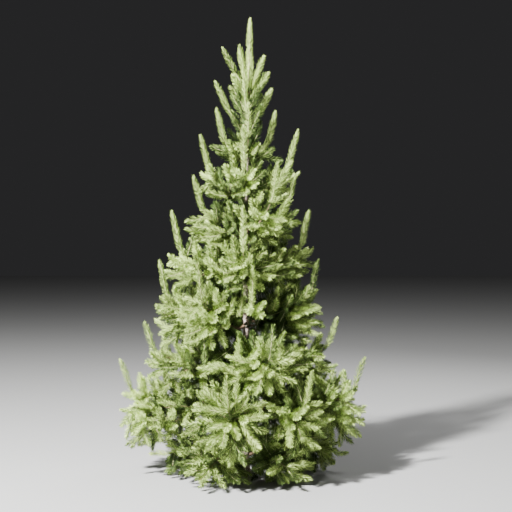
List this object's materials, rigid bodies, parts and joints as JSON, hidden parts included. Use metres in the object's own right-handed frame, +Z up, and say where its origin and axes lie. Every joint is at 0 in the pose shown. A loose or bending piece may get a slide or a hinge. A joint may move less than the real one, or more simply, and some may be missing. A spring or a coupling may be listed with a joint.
{
  "type": "spruce tree",
  "caption": "Young spruce tree with a straight tapering trunk, tiers of upturned boughs in a narrow cone and dense short needles, rooted in the ground",
  "frame": {"origin": "centre of the flat cut under the trunk, at ground level", "axes": "+Z up the trunk, whose tip leans slightly to +X; -Y is the side that the picture shows"},
  "size_m": [1.5157, 1.3814, 2.812],
  "materials": {
    "bark": "rough scaly bark",
    "bough_bark": "matt young bark",
    "needles": "waxy needles"
  },
  "bodies": {
    "root": {"bough_10_1": "bough_bark", "bough_10_2": "bough_bark", "bough_10_3": "bough_bark", "bough_10_4": "bough_bark", "bough_10_5": "bough_bark", "bough_9_1": "bough_bark", "bough_9_2": "bough_bark", "bough_9_3": "bough_bark", "bough_9_4": "bough_bark", "bough_9_5": "bough_bark", "bough_9_6": "bough_bark", "foliage_10_1": "needles", "foliage_10_2": "needles", "foliage_10_3": "needles", "foliage_10_4": "needles", "foliage_10_5": "needles", "foliage_1_1": "needles", "foliage_1_2": "needles", "foliage_1_3": "needles", "foliage_1_4": "needles", "foliage_2_1": "needles", "foliage_2_2": "needles", "foliage_2_3": "needles", "foliage_2_4": "needles", "foliage_3_1": "needles", "foliage_3_2": "needles", "foliage_3_3": "needles", "foliage_3_4": "needles", "foliage_4_1": "needles", "foliage_4_2": "needles", "foliage_4_3": "needles", "foliage_4_4": "needles", "foliage_5_1": "needles", "foliage_5_2": "needles", "foliage_5_3": "needles", "foliage_5_4": "needles", "foliage_6_1": "needles", "foliage_6_2": "needles", "foliage_6_3": "needles", "foliage_6_4": "needles", "foliage_6_5": "needles", "foliage_7_1": "needles", "foliage_7_2": "needles", "foliage_7_3": "needles", "foliage_7_4": "needles", "foliage_7_5": "needles", "foliage_7_6": "needles", "foliage_8_1": "needles", "foliage_8_2": "needles", "foliage_8_3": "needles", "foliage_8_4": "needles", "foliage_8_5": "needles", "foliage_9_1": "needles", "foliage_9_2": "needles", "foliage_9_3": "needles", "foliage_9_4": "needles", "foliage_9_5": "needles", "foliage_9_6": "needles", "leader_foliage": "needles", "trunk": "bark"}
  },
  "joints": []
}
